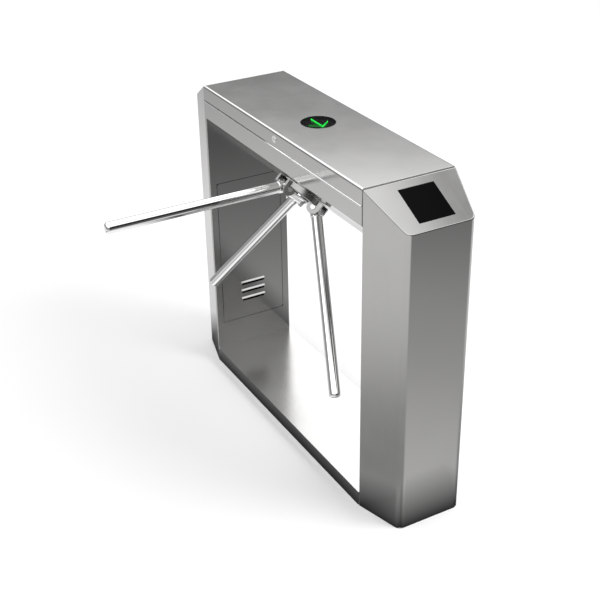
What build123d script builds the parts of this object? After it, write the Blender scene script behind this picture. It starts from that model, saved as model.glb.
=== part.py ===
from build123d import *
import math
import os

# Tripod turnstile in millimetres.
# X runs along the cabinet, -Y points into the walkway, +Z is up.
# The origin is on the floor, under the middle of the cabinet.

# ---------------------------------------------------------------- cabinet
LENGTH = 1200.0          # overall length along X
WIDTH = 280.0            # cabinet width along Y
HEIGHT = 980.0           # top of the lid above the floor
COLUMN_TAPER = 148.0     # length over which each column narrows
COLUMN_END_WIDTH = 200.0  # width of a column's end face
READER_EDGE_Z = 903.0    # height of a sloped reader panel's lower edge
SHEET = 2.0              # steel sheet thickness
END_RADIUS = 22.0        # bend at a column's outer corners
FOLD_RADIUS = 4.0        # folds at a column's inner corners and around its sloped top
BASE_HEIGHT = 46.0       # channel joining the two columns at the floor
FOOT_THICKNESS = 6.0     # anchor plate inside each column

INNER_X = LENGTH / 2 - COLUMN_TAPER     # inner face of each column
HALF_WIDTH = WIDTH / 2
HALF_END = COLUMN_END_WIDTH / 2

# ---------------------------------------------------------------- beam and lid
LID_SKIRT = 45.0         # height of the lid's skirt
BEAM_FACE = 101.0        # lid top to the lower edge of the upright face
BEVEL_RUN = 188.0        # 45 degree underside, measured along Y and along Z
LID_EDGE_RADIUS = 6.0    # rounded top edge of the lid
LID_END_RADIUS = 1.8     # rounded edges of the lid's two ends
SEAM_RADIUS = 3.0        # fold of the beam's wall under the lid
LID_GAP = 0.5            # gap between the lid and what is around it
RAIL_HEIGHT = 15.0       # inner rail that stands up behind the lid's skirt
RAIL_DEPTH = 20.0        # rail's length below the skirt
RAIL_OFFSET = 3.5        # from the outer face to the rail's upper part
RAIL_THICKNESS = 2.5
END_PLATE = 3.0          # welded end plates of the beam

SEAM_Z = HEIGHT - LID_SKIRT
FACE_LOW_Z = HEIGHT - BEAM_FACE
BEAM_BOTTOM_Z = FACE_LOW_Z - BEVEL_RUN
BEVEL_INNER_Y = -HALF_WIDTH + BEVEL_RUN

# ---------------------------------------------------------------- anchors and fasteners
ANCHOR_SPACING_X = 1050.0
ANCHOR_SPACING_Y = 140.0
ANCHOR_HOLE_R = 7.0
CABLE_HOLE_R = 16.0
BEAM_BOLT_R = 4.0
BEAM_BOLT_HEAD_R = 6.5
BEAM_BOLT_SPOTS = ((-110.0, 905.0), (110.0, 905.0), (40.0, 745.0), (110.0, 745.0))

# ---------------------------------------------------------------- reader window
WINDOW_LENGTH = 110.0
WINDOW_WIDTH = 107.0
WINDOW_START = 30.0      # from the top edge, down the slope
WINDOW_THICKNESS = 3.0
WINDOW_GAP = 0.5
READER_SIZE = (92.0, 80.0, 24.0)

# ---------------------------------------------------------------- service doors
DOOR_WIDTH = 226.0
DOOR_LOW_Z = 140.0
DOOR_HIGH_Z = 648.0
DOOR_GAP = 1.6
DOOR_CORNER = 7.0
DOORWAY_CORNER = 3.0     # corners of the opening; tighter, so that the turning door clears them
DOOR_HINGE_INSET = 6.0   # from the door's rear edge to its hinge axis
DOOR_HINGE_DEPTH = 4.0   # from the door's outer face to its hinge axis
DOOR_PIN_R = 1.5
DOOR_EAR = 4.0           # thickness of a hinge ear
DOOR_EAR_R = 4.5
LOUVRE_LENGTH = 87.0
LOUVRE_HEIGHTS = (217.0, 247.0, 277.0)
LOUVRE_OPENING = 15.0
LOUVRE_DROP = 4.0        # fall of a louvre's cover from the door to its lip
LOUVRE_WALL = 1.2
LOUVRE_LIP = 5.0
DOOR_LOCK_Z = 597.0
LOCK_R = 9.0             # visible radius of every lock
LOCK_PLUG_R = 6.0
LOCK_CLEARANCE = 0.05    # plug in housing, and ear on pin
LOCK_DEPTH = 18.0
CAM_THICKNESS = 2.5
CAM_WIDTH = 12.0
DOOR_CAM_REACH = 62.0

# ---------------------------------------------------------------- lid fittings
INDICATOR_R = 50.0
LENS_THICKNESS = 3.0
LENS_FLANGE_R = 54.0
BOARD_THICKNESS = 1.6
LED_R = 1.1
LED_PITCH = 3.8
ARROW_TAIL_X = -40.0
ARROW_TIP_X = 25.0
ARROW_WING = (25.0, 30.0)   # wing's reach back along X and out along Y
LID_LOCK_Z = 958.0
LID_CAM_REACH = 26.0
LID_HINGE_X = 300.0      # each lid hinge sits this far from the middle
LID_HINGE_LENGTH = 80.0
LID_HINGE_R = 4.0
LID_PIN_R = 2.0
LID_HINGE_Y = HALF_WIDTH + LID_HINGE_R
LEAF = 2.0
LEAF_HEIGHT = 26.0

# ---------------------------------------------------------------- tripod, in its own axes
# Local z runs out of the cabinet along the rotor's axis, 45 degrees down,
# local x is the cabinet's X, and local zero is where the three arm axes meet.
APEX_Y = -19.0
APEX_Z = 813.0
S45 = math.sqrt(0.5)
HUB = Plane(origin=(0, APEX_Y, APEX_Z), x_dir=(1, 0, 0), z_dir=(0, -S45, -S45)).location
BEVEL_S = (APEX_Y + HALF_WIDTH + APEX_Z - FACE_LOW_Z) * S45   # bevel's outer face
ARM_ANGLES = (0.0, 120.0, 240.0)
ARM_TIP = 629.0          # from the meeting point to an arm's tip
PIVOT_R = 64.0           # drop pivot, from the axis and from local zero
TUBE_R = 16.0
TUBE_WALL = 1.5
CAP_LENGTH = 12.0
CAP_ROUND = 10.0
SPIGOT = 40.0            # knuckle's spigot inside the tube
EYE_R = 17.0
EYE_WIDTH = 39.0
COLLAR_R = 18.0
COLLAR_START = 10.0      # from the pivot along the arm
COLLAR_END = 24.0
PIN_R = 6.0
PIN_CLEARANCE = 0.05
PIN_HEAD_R = 7.5
PIN_HEAD = 2.5
PIN_RELIEF = 6.0         # scooped relief in the disc beside a pin's head
HUB_DISC_R = 76.0
HUB_DISC_GAP = 2.0
HUB_DISC_THICKNESS = 18.0
FORK_INNER = 20.0        # half the gap between two cheeks
FORK_OUTER = 29.0
CHEEK_R = 20.0
POCKET = (40.0, 88.0)    # radial start and end of an arm pocket
POCKET_FLOOR = 44.5
HUB_CAP_R = 32.0
HUB_CAP_HEIGHT = 12.0

PIVOT_ALONG = PIVOT_R / S45
DISC_BACK = BEVEL_S + HUB_DISC_GAP
DISC_FRONT = DISC_BACK + HUB_DISC_THICKNESS

# ---------------------------------------------------------------- mechanism behind the bevel
PLATE = 8.0
PLATE_X = 200.0
PLATE_Y = 180.0
PLATE_SCREWS = (85.0, 75.0)
POST_SPOTS = (62.0, 46.0)
POST_R = 6.0
SHAFT_R = 15.0
SHAFT_FLANGE_R = 36.0
SHAFT_FLANGE = 6.0
BEVEL_HOLE_R = 40.0
HOUSING_R = 42.0
HOUSING_FLANGE_R = 56.0
HOUSING_FLANGE = 8.0
HOUSING_END = -41.0
BEARING_R = 31.0
BEARING_WIDTH = 16.0
OUTER_RACE_BORE_R = 26.5
INNER_RACE_R = 19.5
BALL_R = 3.2
BALL_COUNT = 9
ENCODER_R = 44.0
ENCODER_S = -48.0
ENCODER_THICKNESS = 2.0
ENCODER_SLOTS = 24
CLUTCH_R = 32.0
CLUTCH_BORE_R = 18.0
ARMATURE_S = (-58.0, -52.0)
COIL_S = (-86.0, -58.5)
MOTOR_PLATE = 6.0
MOTOR_PLATE_SIZE = (150.0, 116.0)
GEARBOX_R = 28.0
GEARBOX_LENGTH = 35.0
MOTOR_R = 26.0
MOTOR_LENGTH = 44.0

PLATE_FRONT = BEVEL_S - SHEET
PLATE_BACK = PLATE_FRONT - PLATE
MOTOR_PLATE_BACK = COIL_S[0] - MOTOR_PLATE


def save(name, shape):
    """Write one named sub-part; a list of solids becomes one group."""
    if isinstance(shape, (list, tuple, ShapeList)):
        solids = [solid for item in shape for solid in item.solids()]
        shape = Compound(children=solids)
    export_step(shape, os.path.join("parts", f"{name}.step"))


def both_ends(shape):
    """The shape of the +X end and its mirror image at the -X end."""
    return shape, mirror(shape, about=Plane.YZ)


def tube(radius, bore, low, high):
    """Ring along z between two heights; a bore of zero gives a solid bar."""
    bar = Pos(0, 0, low) * Cylinder(radius, high - low, align=(Align.CENTER, Align.CENTER, Align.MIN))
    if bore <= 0:
        return bar
    return bar - Pos(0, 0, low) * Cylinder(bore, high - low, align=(Align.CENTER, Align.CENTER, Align.MIN))


def block(low, high):
    """Box between two opposite corners."""
    size = [b - a for a, b in zip(low, high)]
    return Pos(*low) * Box(*size, align=(Align.MIN, Align.MIN, Align.MIN))


def x_bar(radius, x_low, x_high, y, z):
    """Round bar along X."""
    return Pos(x_low, y, z) * Rot(0, 90, 0) * Cylinder(
        radius, x_high - x_low, align=(Align.CENTER, Align.CENTER, Align.MIN))


def y_bar(radius, y_low, y_high, x, z):
    """Round bar along Y."""
    return Pos(x, y_low, z) * Rot(-90, 0, 0) * Cylinder(
        radius, y_high - y_low, align=(Align.CENTER, Align.CENTER, Align.MIN))


def along_x(points, x_low, x_high):
    """Prism along X from an outline given as (y, z) points."""
    outline = make_face(Plane.YZ * Polyline(*points, close=True))
    return Pos(x_low, 0, 0) * extrude(outline, amount=x_high - x_low, dir=(1, 0, 0))


def along_y(points, y_low, y_high):
    """Prism along Y from an outline given as (x, z) points."""
    outline = make_face(Plane.XZ * Polyline(*points, close=True))
    return Pos(0, y_low, 0) * extrude(outline, amount=y_high - y_low, dir=(0, 1, 0))


# ---------------------------------------------------------------- columns

SLOPE_ANGLE = math.atan2(HEIGHT - READER_EDGE_Z, COLUMN_TAPER)
SLOPE_DROP = SHEET / math.cos(SLOPE_ANGLE)   # sheet thickness measured straight down
SLOPE = Plane(
    origin=(INNER_X, 0, HEIGHT),
    x_dir=(math.cos(SLOPE_ANGLE), 0, -math.sin(SLOPE_ANGLE)),
    z_dir=(math.sin(SLOPE_ANGLE), 0, math.cos(SLOPE_ANGLE)),
).location
SLOPE_NORMAL = Axis((0, 0, 0), (math.sin(SLOPE_ANGLE), 0, math.cos(SLOPE_ANGLE)))


def column_plan(inset):
    """Plan outline of the +X column, set in from the outer surface."""
    corners = ((INNER_X, -HALF_WIDTH), (LENGTH / 2, -HALF_END), (LENGTH / 2, HALF_END), (INNER_X, HALF_WIDTH))
    plan = make_face(Polyline(*corners, close=True))
    plan = fillet(plan.vertices().sort_by(Axis.X)[2:], END_RADIUS)
    return plan if inset == 0 else offset(plan, amount=-inset)


def under_slope(depth):
    """Everything below the sloped top, lowered by a depth."""
    top = HEIGHT - depth
    low = READER_EDGE_Z - depth
    slope = (HEIGHT - READER_EDGE_Z) / COLUMN_TAPER
    margin = 20.0
    points = (
        (INNER_X - margin, -margin),
        (LENGTH / 2 + margin, -margin),
        (LENGTH / 2 + margin, low - slope * margin),
        (INNER_X - margin, top + slope * margin),
    )
    return along_y(points, -HALF_WIDTH - margin, HALF_WIDTH + margin)


def door_opening():
    """Rounded opening in the +X column's inner face, with the door's gap around it."""
    half = DOOR_WIDTH / 2 + DOOR_GAP
    low = DOOR_LOW_Z - DOOR_GAP
    high = DOOR_HIGH_Z + DOOR_GAP
    hole = Plane(origin=(INNER_X, 0, (low + high) / 2), x_dir=(0, 1, 0), z_dir=(1, 0, 0)) * RectangleRounded(
        2 * half, high - low, DOORWAY_CORNER)
    return Pos(-SHEET, 0, 0) * extrude(hole, amount=3 * SHEET)


def column_shell():
    """Welded sheet column: tapering sides, end face, inner face and sloped reader top."""
    outer = extrude(column_plan(0), amount=HEIGHT) & under_slope(0)
    rims = outer.faces().sort_by(SLOPE_NORMAL)[-1].edges().sort_by(Axis.X)
    folds = outer.edges().filter_by(Axis.Z).sort_by(Axis.X)
    outer = fillet(rims + folds[:2], FOLD_RADIUS)
    shell = outer - (extrude(column_plan(SHEET), amount=HEIGHT) & under_slope(SLOPE_DROP))
    shell -= door_opening()
    hole = (WINDOW_LENGTH + 2 * WINDOW_GAP, WINDOW_WIDTH + 2 * WINDOW_GAP, 6 * SHEET)
    shell -= SLOPE * Pos(WINDOW_START + WINDOW_LENGTH / 2, 0, 0) * Box(*hole)
    for y, z in BEAM_BOLT_SPOTS:
        shell -= x_bar(BEAM_BOLT_R, INNER_X - SHEET, INNER_X + 2 * SHEET, y, z)
    return shell


def reader_window():
    """Dark glass pane, flush with the sloped panel."""
    return SLOPE * Pos(WINDOW_START + WINDOW_LENGTH / 2, 0, -WINDOW_THICKNESS / 2) * Box(
        WINDOW_LENGTH, WINDOW_WIDTH, WINDOW_THICKNESS)


def card_reader():
    """Contactless reader glued under the pane."""
    length, width, depth = READER_SIZE
    body = Pos(WINDOW_START + WINDOW_LENGTH / 2, 0, -WINDOW_THICKNESS - depth / 2) * Box(length, width, depth)
    plug_size = (14.0, 26.0, 8.0)
    plug = Pos(WINDOW_START + WINDOW_LENGTH / 2, 0, -WINDOW_THICKNESS - depth - plug_size[2] / 2) * Box(*plug_size)
    return SLOPE * (body + plug)


def foot_plate():
    """Anchor plate welded inside the foot of the +X column."""
    plate = extrude(column_plan(SHEET), amount=FOOT_THICKNESS)
    for y in (-ANCHOR_SPACING_Y / 2, ANCHOR_SPACING_Y / 2):
        plate -= Pos(ANCHOR_SPACING_X / 2, y, 0) * Cylinder(ANCHOR_HOLE_R, 3 * FOOT_THICKNESS)
    return plate - Pos(ANCHOR_SPACING_X / 2, 0, 0) * Cylinder(CABLE_HOLE_R, 3 * FOOT_THICKNESS)


def cable_grommet():
    """Rubber ring that lines the cable entry of the +X foot plate."""
    bore = CABLE_HOLE_R - 4.0
    lip = CABLE_HOLE_R + 4.0
    lip_height = 3.0
    ring = tube(CABLE_HOLE_R, bore, 0, FOOT_THICKNESS) + tube(lip, bore, FOOT_THICKNESS, FOOT_THICKNESS + lip_height)
    return Pos(ANCHOR_SPACING_X / 2, 0, 0) * ring


def base_channel():
    """Inverted channel on the floor between the columns."""
    outer = block((-INNER_X, -HALF_WIDTH, 0), (INNER_X, HALF_WIDTH, BASE_HEIGHT))
    hollow = block((-INNER_X, -HALF_WIDTH + SHEET, 0), (INNER_X, HALF_WIDTH - SHEET, BASE_HEIGHT - SHEET))
    return outer - hollow


# ---------------------------------------------------------------- beam

def beam_section(inset):
    """Outline of the beam in (y, z), set in from its outer surface."""
    bend = inset * (math.sqrt(2.0) - 1.0)
    return (
        (-HALF_WIDTH + inset, SEAM_Z),
        (-HALF_WIDTH + inset, FACE_LOW_Z + bend),
        (BEVEL_INNER_Y + bend, BEAM_BOTTOM_Z + inset),
        (HALF_WIDTH - inset, BEAM_BOTTOM_Z + inset),
        (HALF_WIDTH - inset, SEAM_Z),
    )


def lid_rail():
    """Inner rail of the front edge; it is welded to the wall and stands up behind the skirt."""
    inner_y = -HALF_WIDTH + RAIL_OFFSET + RAIL_THICKNESS
    points = (
        (-HALF_WIDTH + SHEET, SEAM_Z - RAIL_DEPTH),
        (-HALF_WIDTH + SHEET, SEAM_Z),
        (-HALF_WIDTH + RAIL_OFFSET, SEAM_Z),
        (-HALF_WIDTH + RAIL_OFFSET, SEAM_Z + RAIL_HEIGHT),
        (inner_y, SEAM_Z + RAIL_HEIGHT),
        (inner_y, SEAM_Z - RAIL_DEPTH),
    )
    return along_x(points, -INNER_X + END_PLATE, INNER_X - END_PLATE)


def beam_housing():
    """Trough that spans the columns and holds the mechanism behind its bevel."""
    trough = along_x(beam_section(0), -INNER_X, INNER_X)
    trough -= along_x(beam_section(SHEET), -INNER_X + END_PLATE, INNER_X - END_PLATE)
    rail = lid_rail()
    trough += rail
    trough += mirror(rail, about=Plane.XZ)
    folds = trough.edges().filter_by(Axis.X).filter_by_position(Axis.Z, SEAM_Z - LID_GAP, SEAM_Z + LID_GAP)
    trough = fillet(folds.group_by(Axis.Y)[0] + folds.group_by(Axis.Y)[-1], SEAM_RADIUS)
    trough -= HUB * tube(BEVEL_HOLE_R, 0, PLATE_FRONT - SHEET, BEVEL_S + SHEET)
    for x in (-PLATE_SCREWS[0], PLATE_SCREWS[0]):
        for y in (-PLATE_SCREWS[1], PLATE_SCREWS[1]):
            trough -= HUB * Pos(x, y, 0) * tube(BEAM_BOLT_R, 0, PLATE_FRONT - SHEET, BEVEL_S + SHEET)
    for side in (-1, 1):
        for y, z in BEAM_BOLT_SPOTS:
            x_low, x_high = sorted((side * (INNER_X - 2 * END_PLATE), side * (INNER_X + END_PLATE)))
            trough -= x_bar(BEAM_BOLT_R, x_low, x_high, y, z)
    return trough


def beam_bolts():
    """Hexagon bolts with nuts that join the beam's ends to the columns."""
    head = 5.5
    bolts = []
    for y, z in BEAM_BOLT_SPOTS:
        inner = INNER_X - END_PLATE
        bolt = x_bar(BEAM_BOLT_R, inner, INNER_X + SHEET, y, z)
        bolt += x_bar(BEAM_BOLT_HEAD_R, inner - head, inner, y, z)
        bolt += x_bar(BEAM_BOLT_HEAD_R, INNER_X + SHEET, INNER_X + SHEET + head, y, z)
        bolts.extend(both_ends(bolt))
    return bolts


# ---------------------------------------------------------------- lid

def lid_section(inset):
    """Closed outline of the lid in (y, z) with rounded top edges."""
    half = HALF_WIDTH - inset
    low = SEAM_Z + LID_GAP
    face = make_face(Plane.YZ * Polyline(
        (-half, low), (-half, HEIGHT - inset), (half, HEIGHT - inset), (half, low), close=True))
    top = face.vertices().sort_by(Axis.Z)[2:]
    return fillet(top, LID_EDGE_RADIUS - inset)


def lid():
    """Top cover: an inverted tray with its indicator hole and its lock hole."""
    end = INNER_X - LID_GAP
    shell = Pos(-end, 0, 0) * extrude(lid_section(0), amount=2 * end, dir=(1, 0, 0))
    ends = shell.faces().sort_by(Axis.X)
    rims = ends[0].edges() + ends[-1].edges()
    shell = fillet(rims.sort_by(Axis.Z)[2:], LID_END_RADIUS)
    shell -= Pos(-end + SHEET, 0, 0) * extrude(lid_section(SHEET), amount=2 * (end - SHEET), dir=(1, 0, 0))
    shell -= Pos(0, 0, HEIGHT) * Cylinder(INDICATOR_R, 4 * SHEET)
    for side in (-1, 1):
        x_low, x_high = sorted((side * (end - 2 * SHEET), side * (end + SHEET)))
        notch_high = SEAM_Z + RAIL_HEIGHT + 2 * SHEET
        shell -= block((x_low, -HALF_WIDTH + SHEET, SEAM_Z - SHEET), (x_high, HALF_WIDTH - SHEET, notch_high))
    return shell - y_bar(LOCK_R - 1.0, -HALF_WIDTH - SHEET, -HALF_WIDTH + 2 * SHEET, 0, LID_LOCK_Z)


def indicator_lens():
    """Smoked disc, flush with the lid, with a flange glued under the lid."""
    low = HEIGHT - SHEET
    return tube(INDICATOR_R, 0, low, HEIGHT) + tube(LENS_FLANGE_R, 0, low - LENS_THICKNESS + SHEET, low)


def arrow_spots():
    """Centres of the arrow's lamps: a shaft and two wings that meet at the tip."""
    shaft_count = round((ARROW_TIP_X - ARROW_TAIL_X) / LED_PITCH)
    shaft_step = (ARROW_TIP_X - ARROW_TAIL_X) / shaft_count
    spots = [(ARROW_TAIL_X + i * shaft_step, 0.0) for i in range(shaft_count + 1)]
    back, out = ARROW_WING
    wing_count = round(math.hypot(back, out) / LED_PITCH)
    for side in (-1, 1):
        for i in range(1, wing_count + 1):
            share = i / wing_count
            spots.append((ARROW_TIP_X - back * share, side * out * share))
    return spots


def indicator_leds():
    """Lamps of the direction arrow, standing on their board under the lens."""
    top = HEIGHT - LENS_THICKNESS - 0.2
    height = 4.0
    return [Pos(x, y, 0) * tube(LED_R, 0, top - height, top) for x, y in arrow_spots()]


def indicator_board():
    """Round lamp board with a connector on its underside, hung by two posts from the lens."""
    top = HEIGHT - LENS_THICKNESS - 0.2 - 4.0
    board = tube(INDICATOR_R - 1.0, 0, top - BOARD_THICKNESS, top)
    connector = block((-10, -44, top - BOARD_THICKNESS - 7), (10, -34, top - BOARD_THICKNESS))
    posts = [Pos(0, y, 0) * tube(2.5, 0, top, HEIGHT - LENS_THICKNESS) for y in (-44.0, 44.0)]
    return board + connector + posts[0] + posts[1]


def hinge_leaf(rising):
    """One leaf of a lid hinge with its knuckles; rising leaves are screwed to the lid."""
    half = LID_HINGE_LENGTH / 2
    knuckles = 5
    step = LID_HINGE_LENGTH / knuckles
    gap = 0.15
    low, high = (SEAM_Z + LID_GAP, SEAM_Z + LEAF_HEIGHT) if rising else (SEAM_Z - LEAF_HEIGHT, SEAM_Z)
    plate = block((-half, HALF_WIDTH, low), (half, HALF_WIDTH + LEAF, high))
    own = range(1, knuckles, 2) if rising else range(0, knuckles, 2)
    other = range(0, knuckles, 2) if rising else range(1, knuckles, 2)
    for i in other:
        cut_low = (-half + i * step - gap, HALF_WIDTH, SEAM_Z - LID_HINGE_R - 0.4)
        cut_high = (-half + (i + 1) * step + gap, HALF_WIDTH + LEAF, SEAM_Z + LID_HINGE_R + 0.4)
        plate -= block(cut_low, cut_high)
    for i in own:
        x_low = -half + i * step + gap
        x_high = -half + (i + 1) * step - gap
        plate += x_bar(LID_HINGE_R, x_low, x_high, LID_HINGE_Y, SEAM_Z)
    return plate - x_bar(LID_PIN_R + LOCK_CLEARANCE * (1 if rising else 0), -half, half, LID_HINGE_Y, SEAM_Z)


def at_lid_hinges(shape):
    """The shape at both lid hinges."""
    return [Pos(x, 0, 0) * shape for x in (-LID_HINGE_X, LID_HINGE_X)]


# ---------------------------------------------------------------- locks

def lock_housing(depth):
    """Lock body along +z, with its face flange at zero and its bore for the plug."""
    return tube(LOCK_R + 1.0, LOCK_PLUG_R + LOCK_CLEARANCE, 0, 1.5) + tube(
        LOCK_R - 1.0, LOCK_PLUG_R + LOCK_CLEARANCE, 1.5, depth)


def lock_plug(depth):
    """Turning plug along +z with its key slot in the face."""
    plug = tube(LOCK_PLUG_R, 0, 0.3, depth)
    return plug - block((-0.8, -3.5, 0), (0.8, 3.5, 4.0))


def lock_cam(start, reach):
    """Flat cam on the end of a plug, reaching along +x."""
    cam = block((0, -CAM_WIDTH / 2, start), (reach, CAM_WIDTH / 2, start + CAM_THICKNESS))
    return cam + tube(CAM_WIDTH / 2, 0, start, start + CAM_THICKNESS)


LID_LOCK = Plane(origin=(0, -HALF_WIDTH - 1.5, LID_LOCK_Z), x_dir=(1, 0, 0), z_dir=(0, 1, 0)).location
DOOR_LOCK = Plane(origin=(INNER_X - 1.5, 0, DOOR_LOCK_Z), x_dir=(0, 1, 0), z_dir=(1, 0, 0)).location


# ---------------------------------------------------------------- service doors

DOOR_HINGE_X = INNER_X + DOOR_HINGE_DEPTH
DOOR_HINGE_Y = DOOR_WIDTH / 2 - DOOR_HINGE_INSET


def louvre(z):
    """Pressed cover of one louvre with its two cheeks; its mouth faces down."""
    lip_x = INNER_X - LOUVRE_LIP
    half = LOUVRE_LENGTH / 2
    cover = (
        (INNER_X, z),
        (lip_x, z - LOUVRE_DROP),
        (lip_x, z - LOUVRE_DROP - LOUVRE_WALL),
        (INNER_X, z - 2 * LOUVRE_WALL),
    )
    cheek_outline = ((INNER_X, z), (lip_x, z - LOUVRE_DROP), (INNER_X, z - LOUVRE_OPENING))
    hood = along_y(cover, -half, half)
    hood += along_y(cheek_outline, -half, -half + LOUVRE_WALL)
    return hood + along_y(cheek_outline, half - LOUVRE_WALL, half)


def door_panel():
    """Flush service door of the +X column with three louvres and two hinge ears."""
    middle_z = (DOOR_LOW_Z + DOOR_HIGH_Z) / 2
    outline = Plane(origin=(INNER_X, 0, middle_z), x_dir=(0, 1, 0), z_dir=(1, 0, 0)) * RectangleRounded(
        DOOR_WIDTH, DOOR_HIGH_Z - DOOR_LOW_Z, DOOR_CORNER)
    panel = extrude(outline, amount=SHEET)
    half = LOUVRE_LENGTH / 2
    for z in LOUVRE_HEIGHTS:
        mouth_low = (INNER_X - SHEET, -half + LOUVRE_WALL, z - LOUVRE_OPENING)
        panel -= block(mouth_low, (INNER_X + 2 * SHEET, half - LOUVRE_WALL, z - 2 * LOUVRE_WALL))
        panel += louvre(z)
    panel -= DOOR_LOCK * tube(LOCK_R - 1.0, 0, 0, 3 * SHEET)
    for z in (DOOR_LOW_Z, DOOR_HIGH_Z - DOOR_EAR):
        ear = Pos(DOOR_HINGE_X, DOOR_HINGE_Y, z) * tube(DOOR_EAR_R, 0, 0, DOOR_EAR)
        ear += block((DOOR_HINGE_X - DOOR_EAR_R, DOOR_HINGE_Y - 14, z), (DOOR_HINGE_X + DOOR_EAR_R, DOOR_HINGE_Y, z + DOOR_EAR))
        ear &= block((INNER_X + SHEET, 0, z), (INNER_X + 40, HALF_WIDTH, z + DOOR_EAR))
        panel += ear
        panel -= Pos(DOOR_HINGE_X, DOOR_HINGE_Y, z) * tube(DOOR_PIN_R + LOCK_CLEARANCE, 0, 0, DOOR_EAR)
    return panel


def door_hinge_pins():
    """Hinge brackets with their pins, fixed inside the +X column above and below the door."""
    half = 5.0
    reach = 7.0
    plate = 4.0
    clear = DOOR_GAP + 1.0
    pins = []
    for edge_z, away in ((DOOR_LOW_Z, -1), (DOOR_HIGH_Z, 1)):
        near_z = edge_z + away * clear
        z_low, z_high = sorted((near_z, near_z + away * plate))
        bracket = block(
            (INNER_X + SHEET, DOOR_HINGE_Y - half, z_low), (DOOR_HINGE_X + reach, DOOR_HINGE_Y + half, z_high))
        z_low, z_high = sorted((near_z, near_z + away * 20.0))
        bracket += block((INNER_X + SHEET, DOOR_HINGE_Y - half, z_low), (DOOR_HINGE_X, DOOR_HINGE_Y + half, z_high))
        z_low, z_high = sorted((near_z, edge_z - away * (DOOR_EAR + 3.0)))
        pins.append(bracket + Pos(DOOR_HINGE_X, DOOR_HINGE_Y, 0) * tube(DOOR_PIN_R, 0, z_low, z_high))
    return pins


# ---------------------------------------------------------------- tripod

def arm_frames():
    """Location of each arm's pivot: local z points along the arm, local x along its pin."""
    return [HUB * Rot(0, 0, angle) * Pos(0, PIVOT_R, PIVOT_R) * Rot(-45, 0, 0) for angle in ARM_ANGLES]


def arm_tube():
    """Polished tube of one arm."""
    return tube(TUBE_R, TUBE_R - TUBE_WALL, COLLAR_END, ARM_TIP - PIVOT_ALONG - CAP_LENGTH)


def arm_knuckle():
    """Eye, collar and spigot that carry the tube on its drop pin."""
    half = EYE_WIDTH / 2
    spigot_r = TUBE_R - TUBE_WALL
    knuckle = x_bar(EYE_R, -half, half, 0, 0)
    knuckle += tube(EYE_R, 0, 0, COLLAR_START) & block((-half, -EYE_R, 0), (half, EYE_R, COLLAR_START))
    collar = tube(COLLAR_R, 0, COLLAR_START, COLLAR_END)
    collar = chamfer(collar.edges().filter_by(GeomType.CIRCLE).sort_by(Axis.Z)[-1], 1.5)
    knuckle += collar
    knuckle += tube(spigot_r, 0, COLLAR_END, COLLAR_END + SPIGOT)
    return knuckle - x_bar(PIN_R + PIN_CLEARANCE, -EYE_WIDTH, EYE_WIDTH, 0, 0)


def arm_end_cap():
    """Domed stopper of one arm's tube."""
    start = ARM_TIP - PIVOT_ALONG - CAP_LENGTH
    dome = tube(TUBE_R, 0, start, start + CAP_LENGTH)
    dome = fillet(dome.edges().filter_by(GeomType.CIRCLE).sort_by(Axis.Z)[-1], CAP_ROUND)
    return dome + tube(TUBE_R - TUBE_WALL, 0, start - CAP_LENGTH, start)


def pivot_pin():
    """Drop pin through both cheeks of a fork, with a head at each end."""
    pin = x_bar(PIN_R, -FORK_OUTER, FORK_OUTER, 0, 0)
    pin += x_bar(PIN_HEAD_R, FORK_OUTER, FORK_OUTER + PIN_HEAD, 0, 0)
    return pin + x_bar(PIN_HEAD_R, -FORK_OUTER - PIN_HEAD, -FORK_OUTER, 0, 0)


def cheek(x_low, x_high):
    """One rounded cheek of the first arm's fork, in the rotor's axes."""
    plate = x_bar(CHEEK_R, x_low, x_high, PIVOT_R, PIVOT_R)
    skirt = block((x_low, PIVOT_R - CHEEK_R, DISC_BACK + SHEET), (x_high, PIVOT_R + CHEEK_R, PIVOT_R))
    above = block((x_low, 0, DISC_BACK + SHEET), (x_high, PIVOT_R + CHEEK_R, 2 * PIVOT_R))
    return (plate + skirt) & above


def hub_disc():
    """Cast hub: a thick disc with a pocket and a two-cheek fork for each arm."""
    disc = tube(HUB_DISC_R, SHAFT_R, DISC_BACK, DISC_FRONT)
    rims = disc.edges().filter_by(GeomType.CIRCLE).group_by(SortBy.RADIUS)[-1]
    disc = fillet(rims.sort_by(Axis.Z)[-1], 3.0)
    for angle in ARM_ANGLES:
        for side in (-1, 1):
            x_low, x_high = sorted((side * FORK_INNER, side * FORK_OUTER))
            disc += Rot(0, 0, angle) * cheek(x_low, x_high)
    for angle in ARM_ANGLES:
        pocket = block((-FORK_INNER, POCKET[0], POCKET_FLOOR), (FORK_INNER, POCKET[1], DISC_FRONT + CHEEK_R))
        disc -= Rot(0, 0, angle) * pocket
        disc -= Rot(0, 0, angle) * x_bar(PIN_R, -FORK_OUTER, FORK_OUTER, PIVOT_R, PIVOT_R)
        for side in (-1, 1):
            x_low, x_high = sorted((side * FORK_OUTER, side * (FORK_OUTER + PIN_RELIEF)))
            disc -= Rot(0, 0, angle) * x_bar(PIN_HEAD_R + HUB_DISC_GAP / 2, x_low, x_high, PIVOT_R, PIVOT_R)
    return HUB * disc


def hub_cap():
    """Domed cap over the shaft's nose."""
    cap = tube(HUB_CAP_R, 0, DISC_FRONT, DISC_FRONT + HUB_CAP_HEIGHT)
    return HUB * fillet(cap.edges().filter_by(GeomType.CIRCLE).sort_by(Axis.Z)[-1], HUB_CAP_HEIGHT - 2.0)


def rotor_shaft():
    """Main shaft with the flange that the hub is drawn onto."""
    shaft = tube(SHAFT_R, 0, ARMATURE_S[0], DISC_FRONT)
    return HUB * (shaft + tube(SHAFT_FLANGE_R, 0, DISC_BACK - SHAFT_FLANGE, DISC_BACK))


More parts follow.
